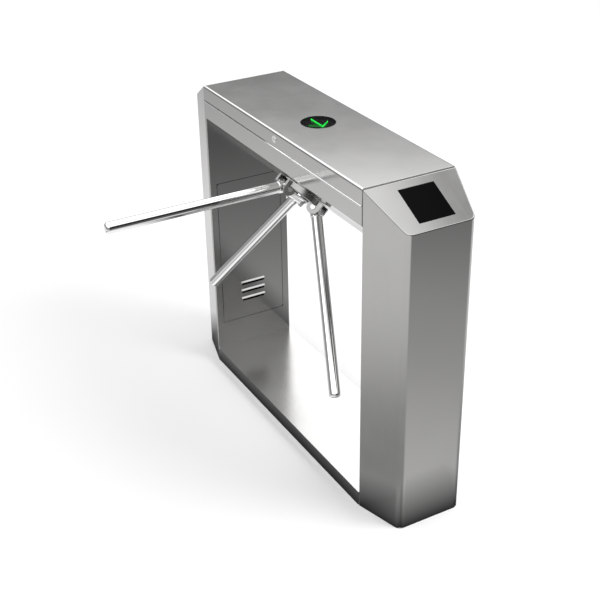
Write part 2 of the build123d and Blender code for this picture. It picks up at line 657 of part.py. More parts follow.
def bearing_spots():
    """Low faces of the rear and the front bearing."""
    return HOUSING_END, PLATE_BACK - HOUSING_FLANGE - BEARING_WIDTH


def bearing_balls():
    """Ball sets of both bearings."""
    balls = []
    pitch = (OUTER_RACE_BORE_R + INNER_RACE_R) / 2
    for low in bearing_spots():
        for i in range(BALL_COUNT):
            balls.append(HUB * Rot(0, 0, 360.0 * i / BALL_COUNT) * Pos(pitch, 0, low + BEARING_WIDTH / 2) * Sphere(BALL_R))
    return balls


def bearing_housing():
    """Flanged tube that holds both bearings on the mechanism plate."""
    front = PLATE_BACK
    body = tube(HOUSING_R, BEARING_R, HOUSING_END, front)
    body += tube(HOUSING_FLANGE_R, BEARING_R, front - HOUSING_FLANGE, front)
    rear, fore = bearing_spots()
    body += tube(BEARING_R, INNER_RACE_R + 2.0, rear + BEARING_WIDTH, rear + BEARING_WIDTH + 4.0)
    return HUB * (body + tube(BEARING_R, INNER_RACE_R + 2.0, fore - 4.0, fore))


def mechanism_plate():
    """Plate behind the bevel that carries the whole mechanism."""
    plate = block((-PLATE_X / 2, -PLATE_Y / 2, PLATE_BACK), (PLATE_X / 2, PLATE_Y / 2, PLATE_FRONT))
    plate -= tube(BEVEL_HOLE_R, 0, PLATE_BACK, PLATE_FRONT)
    for x in (-PLATE_SCREWS[0], PLATE_SCREWS[0]):
        for y in (-PLATE_SCREWS[1], PLATE_SCREWS[1]):
            plate -= Pos(x, y, 0) * tube(BEAM_BOLT_R, 0, PLATE_BACK, PLATE_FRONT)
    return HUB * plate


def mechanism_screws():
    """Cap screws that hold the plate against the bevel."""
    screws = []
    head = 8.0
    for x in (-PLATE_SCREWS[0], PLATE_SCREWS[0]):
        for y in (-PLATE_SCREWS[1], PLATE_SCREWS[1]):
            screw = tube(BEAM_BOLT_R, 0, PLATE_BACK, BEVEL_S)
            screw += tube(BEAM_BOLT_HEAD_R, 0, PLATE_BACK - head, PLATE_BACK)
            screws.append(HUB * Pos(x, y, 0) * screw)
    return screws


def mechanism_posts():
    """Four posts between the mechanism plate and the motor plate."""
    spots = [(x, y) for x in (-POST_SPOTS[0], POST_SPOTS[0]) for y in (-POST_SPOTS[1], POST_SPOTS[1])]
    return [HUB * Pos(x, y, 0) * tube(POST_R, 0, COIL_S[0], PLATE_BACK) for x, y in spots]


def motor_plate():
    """Rear plate on the posts; it holds the clutch coil and the gear motor."""
    half_x = MOTOR_PLATE_SIZE[0] / 2
    half_y = MOTOR_PLATE_SIZE[1] / 2
    return HUB * block((-half_x, -half_y, MOTOR_PLATE_BACK), (half_x, half_y, COIL_S[0]))


def clutch_coil():
    """Stationary coil housing of the electromagnetic clutch."""
    return HUB * tube(CLUTCH_R, CLUTCH_BORE_R, COIL_S[0], COIL_S[1])


def clutch_armature():
    """Armature disc of the clutch on the end of the shaft."""
    return HUB * tube(CLUTCH_R - 1.0, SHAFT_R, ARMATURE_S[0], ARMATURE_S[1])


def motor_gearbox():
    """Round gearbox flanged to the motor plate."""
    body = tube(GEARBOX_R, 0, MOTOR_PLATE_BACK - GEARBOX_LENGTH, MOTOR_PLATE_BACK)
    return HUB * body


def drive_motor():
    """Motor behind the gearbox, with its terminal box."""
    front = MOTOR_PLATE_BACK - GEARBOX_LENGTH
    back = front - MOTOR_LENGTH
    body = tube(MOTOR_R, 0, back, front)
    body = fillet(body.edges().filter_by(GeomType.CIRCLE).sort_by(Axis.Z)[0], 3.0)
    return HUB * (body + block((MOTOR_R - 4.0, -9.0, back + 8.0), (MOTOR_R + 10.0, 9.0, front - 8.0)))


def encoder_disc():
    """Slotted disc that the counter reads."""
    disc = tube(ENCODER_R, SHAFT_R, ENCODER_S, ENCODER_S + ENCODER_THICKNESS)
    slot = block((ENCODER_R - 9.0, -1.5, ENCODER_S), (ENCODER_R - 3.0, 1.5, ENCODER_S + ENCODER_THICKNESS))
    for i in range(ENCODER_SLOTS):
        disc -= Rot(0, 0, 360.0 * i / ENCODER_SLOTS) * slot
    return HUB * disc


def encoder_sensor():
    """Forked light barrier around the encoder's rim, on a foot that stands on the motor plate."""
    gap = 2.0
    low = ENCODER_S - gap - 5.0
    high = ENCODER_S + ENCODER_THICKNESS + gap + 3.0
    head = block((ENCODER_R - 10.0, -8.0, low), (ENCODER_R + 10.0, 8.0, high))
    head -= block((0, -9.0, ENCODER_S - gap), (ENCODER_R + 2.0, 9.0, ENCODER_S + ENCODER_THICKNESS + gap))
    foot = block((ENCODER_R + 4.0, -8.0, COIL_S[0]), (ENCODER_R + 10.0, 8.0, high))
    return HUB * (head + foot)


# ---------------------------------------------------------------- electronics

def control_board():
    """Control board with relays and connectors, on four posts from the beam's rear wall."""
    x_low, x_high = -330.0, -150.0
    z_low, z_high = 760.0, 880.0
    wall = HALF_WIDTH - SHEET
    face = wall - 10.0
    board = block((x_low, face - BOARD_THICKNESS, z_low), (x_high, face, z_high))
    for x in (x_low + 8.0, x_high - 8.0):
        for z in (z_low + 8.0, z_high - 8.0):
            board += y_bar(3.0, face, wall, x, z)
    for i in range(3):
        x = x_low + 25.0 + 30.0 * i
        board += block((x, face - BOARD_THICKNESS - 16.0, z_low + 25.0), (x + 20.0, face - BOARD_THICKNESS, z_low + 45.0))
    return board + block((x_low + 20.0, face - BOARD_THICKNESS - 10.0, z_high - 30.0),
                         (x_high - 20.0, face - BOARD_THICKNESS, z_high - 18.0))


def power_supply():
    """Switched power supply on the end wall of the +X column."""
    back = LENGTH / 2 - SHEET
    return block((back - 42.0, -50.0, 380.0), (back, 50.0, 540.0))


def terminal_block():
    """Mains terminals on the same wall, below the power supply."""
    back = LENGTH / 2 - SHEET
    body = block((back - 30.0, -40.0, 300.0), (back, 40.0, 330.0))
    for i in range(6):
        body -= Pos(0, -32.5 + 13.0 * i, 0) * block((back - 30.0, -3.5, 306.0), (back - 22.0, 3.5, 324.0))
    return body


def counter_module():
    """Visitor counter with its display, on the beam's floor."""
    floor = BEAM_BOTTOM_Z + SHEET
    body = block((200.0, 66.0, floor), (296.0, 128.0, floor + 48.0))
    return body - block((212.0, 76.0, floor + 46.0), (284.0, 106.0, floor + 48.0))


# ---------------------------------------------------------------- write every sub-part

def write_cabinet():
    """Fixed structure of both ends."""
    save("near_column_shell", column_shell())
    save("far_column_shell", mirror(column_shell(), about=Plane.YZ))
    save("reader_windows", both_ends(reader_window()))
    save("card_readers", both_ends(card_reader()))
    save("foot_plates", both_ends(foot_plate()))
    save("cable_grommet", cable_grommet())
    save("base_channel", base_channel())
    save("beam_housing", beam_housing())
    save("beam_bolts", beam_bolts())


def write_lid():
    """Hinged top cover and what is fixed to it."""
    save("lid", lid())
    save("indicator_lens", indicator_lens())
    save("indicator_board", indicator_board())
    save("indicator_leds", indicator_leds())
    save("lid_hinge_fixed_leaves", at_lid_hinges(hinge_leaf(rising=False)))
    save("lid_hinge_moving_leaves", at_lid_hinges(hinge_leaf(rising=True)))
    half = LID_HINGE_LENGTH / 2
    save("lid_hinge_pins", at_lid_hinges(x_bar(LID_PIN_R, -half, half, LID_HINGE_Y, SEAM_Z)))
    save("lid_lock_housing", LID_LOCK * lock_housing(LOCK_DEPTH))
    save("lid_lock_plug", LID_LOCK * lock_plug(LOCK_DEPTH))
    save("lid_lock_cam", LID_LOCK * lock_cam(LOCK_DEPTH, LID_CAM_REACH))


def write_doors():
    """Service door, lock and hinge pins of each column."""
    pieces = {
        "door_panel": door_panel(),
        "door_lock_housing": DOOR_LOCK * lock_housing(LOCK_DEPTH),
        "door_lock_plug": DOOR_LOCK * (lock_plug(LOCK_DEPTH) + lock_cam(LOCK_DEPTH, DOOR_CAM_REACH)),
    }
    for name, piece in pieces.items():
        save(f"near_{name}", piece)
        save(f"far_{name}", mirror(piece, about=Plane.YZ))
    save("door_hinge_pins", [piece for pin in door_hinge_pins() for piece in both_ends(pin)])


def write_tripod():
    """Turning hub with its three arms."""
    save("rotor_shaft", rotor_shaft())
    save("hub_disc", hub_disc())
    save("hub_cap", hub_cap())
    save("arm_pivot_pins", [frame * pivot_pin() for frame in arm_frames()])
    for number, frame in enumerate(arm_frames(), start=1):
        save(f"arm_{number}_tube", frame * arm_tube())
        save(f"arm_{number}_knuckle", frame * arm_knuckle())
        save(f"arm_{number}_end_cap", frame * arm_end_cap())


def write_mechanism():
    """Bearings, clutch, motor and encoder behind the bevel."""
    save("mechanism_plate", mechanism_plate())
    save("mechanism_screws", mechanism_screws())
    save("mechanism_posts", mechanism_posts())
    save("motor_plate", motor_plate())
    save("bearing_housing", bearing_housing())
    races = [(BEARING_R, OUTER_RACE_BORE_R), (INNER_RACE_R, SHAFT_R)]
    for name, (outer, bore) in zip(("bearing_outer_races", "bearing_inner_races"), races):
        save(name, [HUB * tube(outer, bore, low, low + BEARING_WIDTH) for low in bearing_spots()])
    save("bearing_balls", bearing_balls())
    save("encoder_disc", encoder_disc())
    save("encoder_sensor", encoder_sensor())
    save("clutch_armature", clutch_armature())
    save("clutch_coil", clutch_coil())
    save("motor_gearbox", motor_gearbox())
    save("drive_motor", drive_motor())


def write_electronics():
    """Boards and supplies inside the cabinet."""
    save("control_board", control_board())
    save("power_supply", power_supply())
    save("terminal_block", terminal_block())
    save("counter_module", counter_module())


os.makedirs("parts", exist_ok=True)
write_cabinet()
write_lid()
write_doors()
write_tripod()
write_mechanism()
write_electronics()
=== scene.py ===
import math

import bmesh
import bpy
from mathutils import Euler, Matrix, Vector


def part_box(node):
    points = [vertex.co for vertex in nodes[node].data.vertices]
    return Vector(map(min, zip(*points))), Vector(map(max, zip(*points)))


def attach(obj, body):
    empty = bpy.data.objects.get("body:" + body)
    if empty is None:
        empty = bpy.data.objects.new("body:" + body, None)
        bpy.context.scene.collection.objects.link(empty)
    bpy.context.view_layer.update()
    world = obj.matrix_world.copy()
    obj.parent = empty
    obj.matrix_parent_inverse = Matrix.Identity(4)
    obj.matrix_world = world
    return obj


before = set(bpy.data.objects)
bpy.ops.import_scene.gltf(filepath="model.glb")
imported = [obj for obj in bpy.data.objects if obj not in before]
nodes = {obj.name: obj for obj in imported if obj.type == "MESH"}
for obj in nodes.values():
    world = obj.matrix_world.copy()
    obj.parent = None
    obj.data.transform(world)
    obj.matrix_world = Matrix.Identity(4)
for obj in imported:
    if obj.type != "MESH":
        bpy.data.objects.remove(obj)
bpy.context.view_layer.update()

# ---------------------------------------------------------------- tones, as linear reflectances

STEEL = (0.50, 0.498, 0.49)
BRIGHT_STEEL = (0.62, 0.617, 0.61)
CHROME = (0.80, 0.80, 0.80)
CAST = (0.33, 0.33, 0.325)
ZINC = (0.62, 0.63, 0.64)
DARK_PAINT = (0.035, 0.036, 0.038)
GREY_PAINT = (0.16, 0.175, 0.19)
BLACK_PLASTIC = (0.012, 0.012, 0.013)
GREY_PLASTIC = (0.30, 0.31, 0.32)
BOARD_GREEN = (0.012, 0.10, 0.035)
LAMP_GREEN = (0.02, 1.0, 0.10)

SHARP_ANGLE = math.radians(28)   # edges sharper than this stay crisp in the shading

# ---------------------------------------------------------------- texture scales and depths

BRUSH_LINES = 900.0         # noise scale across the brushing
BRUSH_STRETCH = 180         # a brushed line is this many times as long as it is wide
WIPE_SCALE = (60, 14, 60)   # wipe marks on the panes and the lens, longer along Y
BRUSH_DEPTH = 0.000015      # bump depths, in metres
POLISH_DEPTH = 0.000004
CAST_DEPTH = 0.00006
PAINT_DEPTH = 0.00008
TRACK_DEPTH = 0.00005
SMUDGE_ROUGHNESS = 0.015    # most that finger marks and brushed lines add to the roughness
LINE_ROUGHNESS = 0.05


# ---------------------------------------------------------------- node helpers

def new_material(name):
    """A material with an empty tree, its shader and its output."""
    material = bpy.data.materials.new(name)
    material.use_nodes = True
    tree = material.node_tree
    tree.nodes.clear()
    output = tree.nodes.new("ShaderNodeOutputMaterial")
    shader = tree.nodes.new("ShaderNodeBsdfPrincipled")
    tree.links.new(shader.outputs["BSDF"], output.inputs["Surface"])
    return material, tree, shader


def math_node(tree, operation, first, second):
    """A math node on sockets or plain numbers; gives its output."""
    node = tree.nodes.new("ShaderNodeMath")
    node.operation = operation
    for socket, value in zip(node.inputs, (first, second)):
        if isinstance(value, (int, float)):
            socket.default_value = value
        else:
            tree.links.new(value, socket)
    return node.outputs[0]


def object_place(tree):
    """Object coordinates, which turn with the piece."""
    return tree.nodes.new("ShaderNodeTexCoord").outputs["Object"]


def scaled(tree, vector, scale, offset=(0, 0, 0)):
    """The vector times a scale for each axis."""
    mapping = tree.nodes.new("ShaderNodeMapping")
    mapping.inputs["Scale"].default_value = scale
    mapping.inputs["Location"].default_value = offset
    tree.links.new(vector, mapping.inputs["Vector"])
    return mapping.outputs["Vector"]


def noise(tree, vector, scale, detail, roughness=0.55):
    """Noise from 0 to 1 around 0.5."""
    node = tree.nodes.new("ShaderNodeTexNoise")
    node.inputs["Scale"].default_value = scale
    node.inputs["Detail"].default_value = detail
    node.inputs["Roughness"].default_value = roughness
    tree.links.new(vector, node.inputs["Vector"])
    return node.outputs["Fac"]


def spread(tree, value, low, high, from_low=0.3, from_high=0.7):
    """The value taken from one range to another, held inside it."""
    node = tree.nodes.new("ShaderNodeMapRange")
    node.inputs["From Min"].default_value = from_low
    node.inputs["From Max"].default_value = from_high
    node.inputs["To Min"].default_value = low
    node.inputs["To Max"].default_value = high
    tree.links.new(value, node.inputs["Value"])
    return node.outputs["Result"]


def tone(tree, value, dark, light):
    """A colour between two tones."""
    ramp = tree.nodes.new("ShaderNodeValToRGB")
    ramp.color_ramp.elements[0].color = (*dark, 1.0)
    ramp.color_ramp.elements[1].color = (*light, 1.0)
    tree.links.new(value, ramp.inputs["Fac"])
    return ramp.outputs["Color"]


def shade(colour, factor):
    """A tone made darker or lighter."""
    return tuple(min(1.0, c * factor) for c in colour)


def mixed(tree, kind, factor, first, second):
    """Two vectors or two colours mixed by a factor."""
    node = tree.nodes.new("ShaderNodeMix")
    node.data_type = kind
    tree.links.new(factor, node.inputs["Factor"])
    tree.links.new(first, node.inputs["A"])
    tree.links.new(second, node.inputs["B"])
    return node.outputs["Result"]


def bump(tree, shader, height, distance, strength):
    """Raises the surface by a height, in the shading only."""
    node = tree.nodes.new("ShaderNodeBump")
    node.inputs["Distance"].default_value = distance
    node.inputs["Strength"].default_value = strength
    tree.links.new(height, node.inputs["Height"])
    tree.links.new(node.outputs["Normal"], shader.inputs["Normal"])


# ---------------------------------------------------------------- materials

def brushed(name, colour, along, rough=(0.07, 0.12)):
    """Brushed sheet: fine lines along X or Z, soft clouds and faint finger marks."""
    material, tree, shader = new_material(name)
    place = object_place(tree)
    slow = BRUSH_LINES / BRUSH_STRETCH
    lines = [BRUSH_LINES, BRUSH_LINES, BRUSH_LINES]
    lines["XYZ".index(along)] = slow
    direction = scaled(tree, place, lines)
    if along == "Z":
        # the walls are brushed up and down, and a face that looks upward along its slope
        lying = scaled(tree, place, (slow, BRUSH_LINES, slow))
        normal = tree.nodes.new("ShaderNodeNewGeometry").outputs["Normal"]
        parts = tree.nodes.new("ShaderNodeSeparateXYZ")
        tree.links.new(normal, parts.inputs["Vector"])
        faces_up = math_node(tree, "GREATER_THAN", parts.outputs["Z"], 0.5)
        direction = mixed(tree, "VECTOR", faces_up, direction, lying)
    grain = noise(tree, direction, 1.0, detail=4.0, roughness=0.7)
    clouds = noise(tree, place, 7.0, detail=4.0)
    smudges = noise(tree, scaled(tree, place, (1, 1, 1), offset=(3, 1, 7)), 28.0, detail=2.0)
    tree.links.new(tone(tree, grain, shade(colour, 0.93), shade(colour, 1.05)), shader.inputs["Base Color"])
    low, high = rough
    base_rough = spread(tree, clouds, low, high)
    worn = math_node(tree, "MULTIPLY", spread(tree, smudges, 0.0, 1.0, 0.45, 0.9), SMUDGE_ROUGHNESS)
    lined = math_node(tree, "MULTIPLY", grain, LINE_ROUGHNESS)
    rough_sum = math_node(tree, "ADD", math_node(tree, "ADD", base_rough, worn), lined)
    tree.links.new(rough_sum, shader.inputs["Roughness"])
    shader.inputs["Metallic"].default_value = 1.0
    bump(tree, shader, grain, BRUSH_DEPTH, 0.3)
    return material


def polished(name, colour, rough=(0.035, 0.09)):
    """Polished metal with faint handling marks and drawn lines."""
    material, tree, shader = new_material(name)
    place = object_place(tree)
    marks = noise(tree, place, 45.0, detail=5.0)
    fine = noise(tree, place, 600.0, detail=2.0)
    tree.links.new(tone(tree, marks, shade(colour, 0.96), shade(colour, 1.03)), shader.inputs["Base Color"])
    tree.links.new(spread(tree, marks, rough[0], rough[1]), shader.inputs["Roughness"])
    shader.inputs["Metallic"].default_value = 1.0
    bump(tree, shader, fine, POLISH_DEPTH, 0.3)
    return material


def cast(name, colour, rough=(0.22, 0.36), grain_scale=420.0):
    """Cast and blasted metal with a fine, uneven skin."""
    material, tree, shader = new_material(name)
    place = object_place(tree)
    skin = noise(tree, place, grain_scale, detail=6.0, roughness=0.65)
    clouds = noise(tree, place, 22.0, detail=4.0)
    tree.links.new(tone(tree, clouds, shade(colour, 0.9), shade(colour, 1.05)), shader.inputs["Base Color"])
    tree.links.new(spread(tree, clouds, rough[0], rough[1]), shader.inputs["Roughness"])
    shader.inputs["Metallic"].default_value = 1.0
    bump(tree, shader, skin, CAST_DEPTH, 0.4)
    return material


def painted(name, colour, rough=(0.32, 0.5), grain_scale=300.0):
    """Sprayed paint or moulded plastic with a fine texture."""
    material, tree, shader = new_material(name)
    place = object_place(tree)
    peel = noise(tree, place, grain_scale, detail=3.0)
    clouds = noise(tree, place, 18.0, detail=4.0)
    tree.links.new(tone(tree, clouds, shade(colour, 0.82), shade(colour, 1.2)), shader.inputs["Base Color"])
    tree.links.new(spread(tree, clouds, rough[0], rough[1]), shader.inputs["Roughness"])
    bump(tree, shader, peel, PAINT_DEPTH, 0.4)
    return material


def smoked_pane():
    """Black pane with a trace of dust and wipe marks; its gloss is set below real acrylic's."""
    material, tree, shader = new_material("smoked_pane")
    place = object_place(tree)
    wipes = noise(tree, scaled(tree, place, WIPE_SCALE), 1.0, detail=4.0)
    dust = noise(tree, place, 900.0, detail=1.0)
    black = tone(tree, dust, (0.0015, 0.0015, 0.0016), (0.004, 0.004, 0.0042))
    tree.links.new(black, shader.inputs["Base Color"])
    tree.links.new(spread(tree, wipes, 0.04, 0.11), shader.inputs["Roughness"])
    shader.inputs["IOR"].default_value = 1.15
    shader.inputs["Specular IOR Level"].default_value = 0.2
    bump(tree, shader, wipes, POLISH_DEPTH, 0.2)
    return material


def smoked_lens():
    """Dark see-through lens over the lamps; it bends light less than real acrylic, so they stay clear."""
    material, tree, shader = new_material("smoked_lens")
    place = object_place(tree)
    wipes = noise(tree, scaled(tree, place, WIPE_SCALE), 1.0, detail=4.0)
    tree.links.new(tone(tree, wipes, (0.16, 0.16, 0.165), (0.19, 0.19, 0.195)), shader.inputs["Base Color"])
    tree.links.new(spread(tree, wipes, 0.0, 0.02), shader.inputs["Roughness"])
    shader.inputs["IOR"].default_value = 1.06
    shader.inputs["Transmission Weight"].default_value = 1.0
    return material


FAINT_BELOW_Y = -0.0018   # about half a lamp's pitch off the arrow's shaft
FAINT_GLOW = 1.4
FULL_GLOW = 5.0


def lamp_green():
    """Lamp domes: those on the -Y side of the arrow's shaft glow faintly, the others are lit."""
    material, tree, shader = new_material("lamp_green")
    place = object_place(tree)
    parts = tree.nodes.new("ShaderNodeSeparateXYZ")
    tree.links.new(place, parts.inputs["Vector"])
    lit = math_node(tree, "GREATER_THAN", parts.outputs["Y"], FAINT_BELOW_Y)
    flicker = noise(tree, place, 160.0, detail=1.0)
    glow = spread(tree, lit, FAINT_GLOW, FULL_GLOW, 0.0, 1.0)
    strength = math_node(tree, "MULTIPLY", spread(tree, flicker, 0.75, 1.2), glow)
    tree.links.new(tone(tree, flicker, shade(LAMP_GREEN, 0.9), LAMP_GREEN), shader.inputs["Emission Color"])
    tree.links.new(strength, shader.inputs["Emission Strength"])
    shader.inputs["Base Color"].default_value = (*LAMP_GREEN, 1.0)
    shader.inputs["Roughness"].default_value = 0.25
    return material


def circuit_board(name, colour):
    """Solder mask with traces that run along both axes of the board."""
    material, tree, shader = new_material(name)
    place = object_place(tree)
    tracks = tree.nodes.new("ShaderNodeTexBrick")
    tracks.inputs["Scale"].default_value = 90.0
    tracks.inputs["Mortar Size"].default_value = 0.06
    tracks.inputs["Color1"].default_value = (*colour, 1.0)
    tracks.inputs["Color2"].default_value = (*shade(colour, 1.25), 1.0)
    tracks.inputs["Mortar"].default_value = (*shade(colour, 2.0), 1.0)
    swapped = tree.nodes.new("ShaderNodeMapping")
    swapped.inputs["Rotation"].default_value = (math.pi / 2, 0.0, 0.0)
    tree.links.new(place, swapped.inputs["Vector"])
    tree.links.new(swapped.outputs["Vector"], tracks.inputs["Vector"])
    tree.links.new(tracks.outputs["Color"], shader.inputs["Base Color"])
    grain = noise(tree, place, 500.0, detail=2.0)
    tree.links.new(spread(tree, grain, 0.25, 0.4), shader.inputs["Roughness"])
    bump(tree, shader, tracks.outputs["Fac"], TRACK_DEPTH, 0.4)
    return material


def pale_floor():
    """Plain pale studio floor."""
    material, tree, shader = new_material("pale_floor")
    place = object_place(tree)
    clouds = noise(tree, place, 0.6, detail=2.0)
    tree.links.new(tone(tree, clouds, (0.93, 0.93, 0.93), (0.95, 0.95, 0.95)), shader.inputs["Base Color"])
    tree.links.new(spread(tree, clouds, 0.8, 0.9), shader.inputs["Roughness"])
    shader.inputs["Specular IOR Level"].default_value = 0.0
    return material


# ---------------------------------------------------------------- finish of the CAD pieces

FINISHES = {
    "sheet_along": brushed("brushed_along_x", STEEL, "X"),
    "sheet_floor": brushed("brushed_worn", STEEL, "X", rough=(0.17, 0.22)),
    "sheet_upright": brushed("brushed_upright", STEEL, "Z"),
    "tube": polished("polished_tube", CHROME),
    "hub": cast("cast_hub", CAST),
    "lock": polished("lock_chrome", CHROME, rough=(0.06, 0.14)),
    "bright": cast("bright_steel", BRIGHT_STEEL, rough=(0.18, 0.3), grain_scale=900.0),
    "zinc": cast("zinc_steel", ZINC, rough=(0.3, 0.45), grain_scale=250.0),
    "pane": smoked_pane(),
    "lens": smoked_lens(),
    "lamps": lamp_green(),
    "board": circuit_board("circuit_board", BOARD_GREEN),
    "lamp_board": circuit_board("lamp_board", BLACK_PLASTIC),
    "dark_paint": painted("dark_paint", DARK_PAINT),
    "grey_paint": painted("grey_paint", GREY_PAINT, grain_scale=160.0),
    "black_plastic": painted("black_plastic", BLACK_PLASTIC, rough=(0.35, 0.5), grain_scale=700.0),
    "grey_plastic": painted("grey_plastic", GREY_PLASTIC, rough=(0.35, 0.5), grain_scale=700.0),
    "rubber": painted("rubber", BLACK_PLASTIC, rough=(0.6, 0.8), grain_scale=500.0),
}

BY_NODE = {
    "near_column_shell": "sheet_upright",
    "far_column_shell": "sheet_upright",
    "near_door_panel": "sheet_upright",
    "far_door_panel": "sheet_upright",
    "base_channel": "sheet_floor",
    "beam_housing": "sheet_along",
    "lid": "sheet_along",
    "hub_disc": "hub",
    "hub_cap": "tube",
    "arm_pivot_pins": "bright",
    "reader_windows": "pane",
    "indicator_lens": "lens",
    "indicator_leds": "lamps",
    "indicator_board": "lamp_board",
    "control_board": "board",
    "card_readers": "black_plastic",
    "encoder_sensor": "black_plastic",
    "terminal_block": "black_plastic",
    "counter_module": "grey_plastic",
    "cable_grommet": "rubber",
    "drive_motor": "dark_paint",
    "clutch_coil": "dark_paint",
    "motor_gearbox": "grey_paint",
    "bearing_housing": "grey_paint",
    "power_supply": "grey_paint",
    "mechanism_plate": "zinc",
    "motor_plate": "zinc",
    "foot_plates": "zinc",
    "mechanism_posts": "zinc",
    "mechanism_screws": "zinc",
    "beam_bolts": "zinc",
    "lid_hinge_fixed_leaves": "bright",
    "lid_hinge_moving_leaves": "bright",
}


def finish_name(node):
    """The finish of a CAD node."""
    if node in BY_NODE:
        return BY_NODE[node]
    if node.startswith("arm_"):
        return "tube"
    if "lock" in node:
        return "lock"
    return "bright"


def dress(node, shape):
    """Gives a CAD node its finish and smooths its curved faces."""
    shape.data.materials.clear()
    shape.data.materials.append(FINISHES[finish_name(node)])
    for face in shape.data.polygons:
        face.use_smooth = True
    shape.data.set_sharp_from_angle(angle=SHARP_ANGLE)


for node_name, node_shape in nodes.items():
    dress(node_name, node_shape)


# ---------------------------------------------------------------- added detail

BEAD_RADIUS = 0.0024
BEAD_STEPS = 14
BEAD_PROUD = 0.2 * BEAD_RADIUS    # its centre, out from the lid's skirt
BEAD_BELOW = 1.1 * BEAD_RADIUS    # and down from the skirt's lower edge
BEAD_END_GAP = 0.0005


def seam_bead():
    """Polished hem along the seam, just under the lid's front skirt."""
    low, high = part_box("lid")
    centre_y = low[1] - BEAD_PROUD
    centre_z = low[2] - BEAD_BELOW
    shape = bmesh.new()
    rings = []
    for x in (low[0] + BEAD_END_GAP, high[0] - BEAD_END_GAP):
        ring = []
        for i in range(BEAD_STEPS):
            angle = 2 * math.pi * i / BEAD_STEPS
            y = centre_y + BEAD_RADIUS * math.cos(angle)
            z = centre_z + BEAD_RADIUS * math.sin(angle)
            ring.append(shape.verts.new((x, y, z)))
        rings.append(ring)
    for i in range(BEAD_STEPS):
        j = (i + 1) % BEAD_STEPS
        face = shape.faces.new((rings[0][i], rings[1][i], rings[1][j], rings[0][j]))
        face.smooth = True
    shape.faces.new(rings[0][::-1])
    shape.faces.new(rings[1])
    bmesh.ops.recalc_face_normals(shape, faces=shape.faces[:])
    mesh = bpy.data.meshes.new("seam_bead")
    shape.to_mesh(mesh)
    shape.free()
    mesh.materials.append(FINISHES["tube"])
    bead = bpy.data.objects.new("seam_bead", mesh)
    bpy.context.scene.collection.objects.link(bead)
    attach(bead, "cabinet")


seam_bead()


# ---------------------------------------------------------------- floor, light and camera

FLOOR_REACH = 30.0      # from the middle to each edge, in metres


def stage_floor():
    """A large plain floor; glossy rays don't see it."""
    mesh = bpy.data.meshes.new("floor")
    corners = [(x * FLOOR_REACH, y * FLOOR_REACH, 0) for x, y in ((-1, -1), (1, -1), (1, 1), (-1, 1))]
    mesh.from_pydata(corners, [], [(0, 1, 2, 3)])
    mesh.materials.append(pale_floor())
    floor = bpy.data.objects.new("floor", mesh)
    bpy.context.scene.collection.objects.link(floor)
    floor.visible_glossy = False


SKY_STRENGTH = 2.4                  # of the surround that glossy rays see
FILL_STRENGTH = 1.03                # of the even white that every other ray sees
SCREEN_DIRECTION = (0.88, 0.47)     # plan direction of the middle of the dark part
SCREEN_EDGE = (0.62, 0.78)          # how far a ray points that way where the dark part starts and is full

# Grey levels by elevation in degrees. They were first estimated from how bright the steel is
# in the photograph, and then set one by one.
ROOM_BANDS = (
    (-90, 0.45),
    (-60, 0.50),
    (-45, 0.38),
    (-38, 0.15),
    (-36, 0.16),
    (-34, 0.20),
    (-32.5, 0.29),
    (-29, 0.37),
    (-25, 0.40),
    (-22, 0.33),
    (-19, 0.26),
    (-12, 0.16),
    (0, 0.13),
    (10, 0.14),
    (18, 0.13),
    (20, 0.19),
    (22, 0.30),
    (24, 0.60),
    (28, 0.95),
    (32, 1.0),
    (40, 1.0),
    (47, 0.80),
    (52, 0.30),
    (56, 0.15),
    (59, 0.62),
    (66, 0.60),
    (90, 0.45),
)
SCREEN_BANDS = (
    (-90, 0.50),
    (-60, 0.60),
    (-46, 0.50),
    (-41, 0.36),
    (-36, 0.30),
    (-32.5, 0.22),
    (-29, 0.19),
    (-26, 0.13),
    (-21, 0.05),
    (-4, 0.045),
    (8, 0.01),
    (29, 0.01),
    (33, 0.30),
    (36, 0.65),
    (42, 0.80),
    (55, 0.60),
    (90, 0.45),
)


def brightness_by_height(tree, height, bands):
    """Grey levels between elevations given in degrees."""
    ramp = tree.nodes.new("ShaderNodeValToRGB")
    stops = ramp.color_ramp.elements
    places = [(math.sin(math.radians(angle)) + 1) / 2 for angle, level in bands]
    for place in places[1:-1]:
        stops.new(place)
    stops[0].position = places[0]
    stops[-1].position = places[-1]
    for stop, (angle, level) in zip(stops, bands):
        stop.color = (level, level, level, 1.0)
    tree.links.new(height, ramp.inputs["Fac"])
    return ramp.outputs["Color"]


